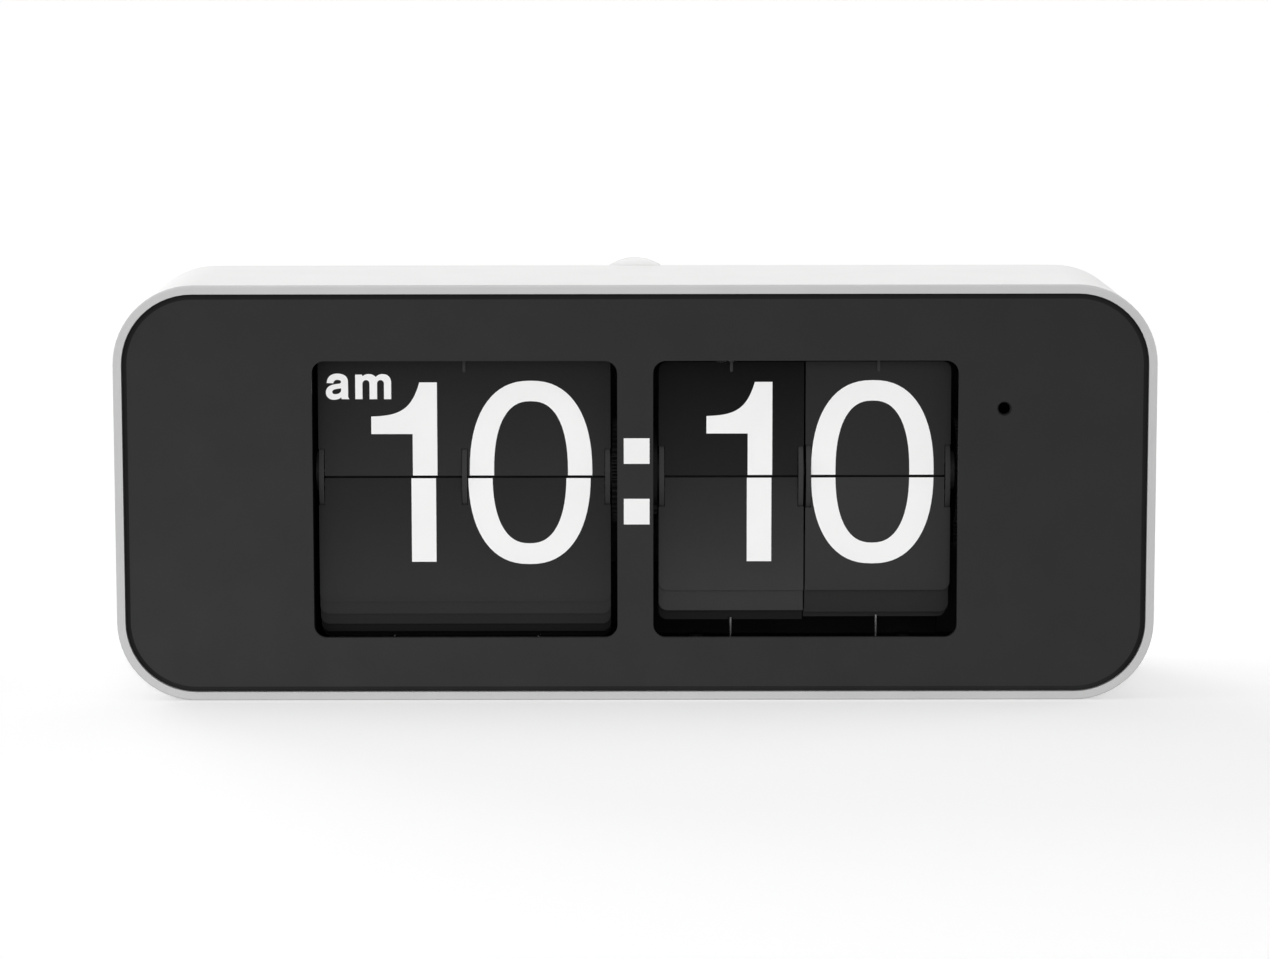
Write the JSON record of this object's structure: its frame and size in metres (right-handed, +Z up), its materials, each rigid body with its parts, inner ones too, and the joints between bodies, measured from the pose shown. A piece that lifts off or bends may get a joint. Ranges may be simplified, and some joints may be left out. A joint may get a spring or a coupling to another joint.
{
  "type": "flip wall clock",
  "caption": "Wide wall clock with a white rounded case, a grey trim ring, a dark front panel with open windows, and split-leaf drums that turn over the hour and the minutes.",
  "frame": {"origin": "middle of the overall box, on the bed that the case stands on", "axes": "+X to the right seen from the front, +Y from the display to the back, +Z up"},
  "size_m": [0.36, 0.0912, 0.1472],
  "materials": {
    "case_plastic": "satin white ABS",
    "trim_plastic": "satin light grey ABS",
    "panel_plastic": "satin black ABS",
    "leaf_film": "matte black sheet with white figures",
    "drum_plastic": "moulded dark grey",
    "gear_plastic": "moulded black acetal",
    "steel": "zinc plated steel",
    "black_steel": "blackened steel",
    "spring_steel": "bright spring steel",
    "cell_wrap": null,
    "housing_plastic": "moulded black",
    "print_white": "white print on the leaves and panel",
    "chassis_black": "matte black"
  },
  "bodies": {
    "case": {"case_shell": "case_plastic", "trim_ring": "trim_plastic", "front_panel": "panel_plastic", "panel_screws": "steel", "rear_cover": "case_plastic", "rear_cover_screws": "steel", "wall_hanger": "case_plastic", "hanger_screws": "steel", "battery_cell": "cell_wrap", "battery_contact_plus": "spring_steel", "battery_contact_minus": "spring_steel", "base_tray": "chassis_black", "guide_pins": "steel", "tray_screws": "black_steel", "left_plate": "chassis_black", "centre_plate": "chassis_black", "right_plate": "chassis_black", "top_bar": "chassis_black", "chassis_screws": "black_steel", "hour_leaf_catch": "spring_steel", "tens_leaf_catch": "spring_steel", "units_leaf_catch": "spring_steel", "catch_screws": "black_steel", "main_axle": "steel", "axle_clips": "steel", "movement_housing": "housing_plastic", "movement_screws": "steel"},
    "door": {"battery_door": "case_plastic"},
    "hour_drum": {"hour_drum": "drum_plastic", "hour_gear": "gear_plastic", "hour_waiting_leaves": "leaf_film", "hour_spent_leaves": "leaf_film"},
    "hour_upper": {"hour_upper_leaf": "leaf_film"},
    "hour_lower": {"hour_lower_leaf": "leaf_film"},
    "tens_drum": {"tens_drum": "drum_plastic", "tens_gear": "gear_plastic", "hour_carry_cam": "gear_plastic", "tens_waiting_leaves": "leaf_film", "tens_spent_leaves": "leaf_film"},
    "tens_upper": {"tens_upper_leaf": "leaf_film"},
    "tens_lower": {"tens_lower_leaf": "leaf_film"},
    "units_drum": {"units_drum": "drum_plastic", "units_drive_gear": "gear_plastic", "tens_carry_cam": "gear_plastic", "units_waiting_leaves": "leaf_film", "units_spent_leaves": "leaf_film"},
    "units_upper": {"units_upper_leaf": "leaf_film"},
    "units_lower": {"units_lower_leaf": "leaf_film"},
    "hour_pinion": {"hour_carry_pinion": "gear_plastic"},
    "tens_pinion": {"tens_carry_pinion": "gear_plastic"},
    "motor": {"motor_pinion": "gear_plastic"},
    "idler": {"setting_idler": "gear_plastic"},
    "setting": {"setting_wheel": "gear_plastic"}
  },
  "joints": [
    {"name": "hour_step", "type": "hinge", "parent": "case", "child": "hour_drum", "pos_m": [0, -0.01145, 0.0762], "axis": [1, 0, 0], "range_deg": [0, 15]},
    {"name": "hour_leaf_fall", "type": "hinge", "parent": "hour_drum", "child": "hour_upper", "pos_m": [0, -0.0288, 0.07848], "axis": [1, 0, 0], "range_deg": [0, 165], "deforming": ["hour_leaf_catch"]},
    {"name": "hour_leaf_hang", "type": "hinge", "parent": "hour_drum", "child": "hour_lower", "pos_m": [0, -0.0288, 0.07392], "axis": [1, 0, 0], "range_deg": [-15, 0]},
    {"name": "tens_step", "type": "hinge", "parent": "case", "child": "tens_drum", "pos_m": [0, -0.01145, 0.0762], "axis": [1, 0, 0], "range_deg": [0, 30]},
    {"name": "tens_leaf_fall", "type": "hinge", "parent": "tens_drum", "child": "tens_upper", "pos_m": [0, -0.02835, 0.08073], "axis": [1, 0, 0], "range_deg": [0, 150], "deforming": ["tens_leaf_catch"]},
    {"name": "tens_leaf_hang", "type": "hinge", "parent": "tens_drum", "child": "tens_lower", "pos_m": [0, -0.02835, 0.07167], "axis": [1, 0, 0], "range_deg": [-30, 0]},
    {"name": "units_step", "type": "hinge", "parent": "case", "child": "units_drum", "pos_m": [0, -0.01145, 0.0762], "axis": [1, 0, 0], "range_deg": [0, 36]},
    {"name": "units_leaf_fall", "type": "hinge", "parent": "units_drum", "child": "units_upper", "pos_m": [0, -0.02809, 0.08161], "axis": [1, 0, 0], "range_deg": [0, 144], "deforming": ["units_leaf_catch"]},
    {"name": "units_leaf_hang", "type": "hinge", "parent": "units_drum", "child": "units_lower", "pos_m": [0, -0.02809, 0.07079], "axis": [1, 0, 0], "range_deg": [-36, 0]},
    {"name": "hour_pinion_turn", "type": "hinge", "parent": "case", "child": "hour_pinion", "pos_m": [0, 0.01105, 0.0762], "axis": [1, 0, 0], "range_deg": [-60, 0]},
    {"name": "tens_pinion_turn", "type": "hinge", "parent": "case", "child": "tens_pinion", "pos_m": [0, -0.01145, 0.0987], "axis": [1, 0, 0], "range_deg": [-60, 0]},
    {"name": "motor_turn", "type": "hinge", "parent": "case", "child": "motor", "pos_m": [0, -0.01145, 0.0537], "axis": [1, 0, 0], "range_deg": [-144, 0]},
    {"name": "idler_turn", "type": "hinge", "parent": "case", "child": "idler", "pos_m": [0, 0.01405, 0.0762], "axis": [1, 0, 0], "range_deg": [-86.4, 0]},
    {"name": "setting_turn", "type": "hinge", "parent": "case", "child": "setting", "pos_m": [0, 0.0283, 0.0762], "axis": [1, 0, 0], "range_deg": [0, 96]},
    {"name": "battery_door_lift", "type": "slide", "parent": "case", "child": "door", "axis": [0, 1, 0], "range_m": [0, 0.03]}
  ],
  "couplings": [
    {"joint": "hour_leaf_fall", "follows": "hour_step", "ratio": 11},
    {"joint": "hour_leaf_hang", "follows": "hour_step", "ratio": -1},
    {"joint": "tens_leaf_fall", "follows": "tens_step", "ratio": 5},
    {"joint": "tens_leaf_hang", "follows": "tens_step", "ratio": -1},
    {"joint": "units_leaf_fall", "follows": "units_step", "ratio": 4},
    {"joint": "units_leaf_hang", "follows": "units_step", "ratio": -1},
    {"joint": "hour_pinion_turn", "follows": "hour_step", "ratio": -4},
    {"joint": "tens_pinion_turn", "follows": "tens_step", "ratio": -2},
    {"joint": "motor_turn", "follows": "units_step", "ratio": -4},
    {"joint": "idler_turn", "follows": "units_step", "ratio": -2.4},
    {"joint": "setting_turn", "follows": "units_step", "ratio": 2.6667}
  ]
}
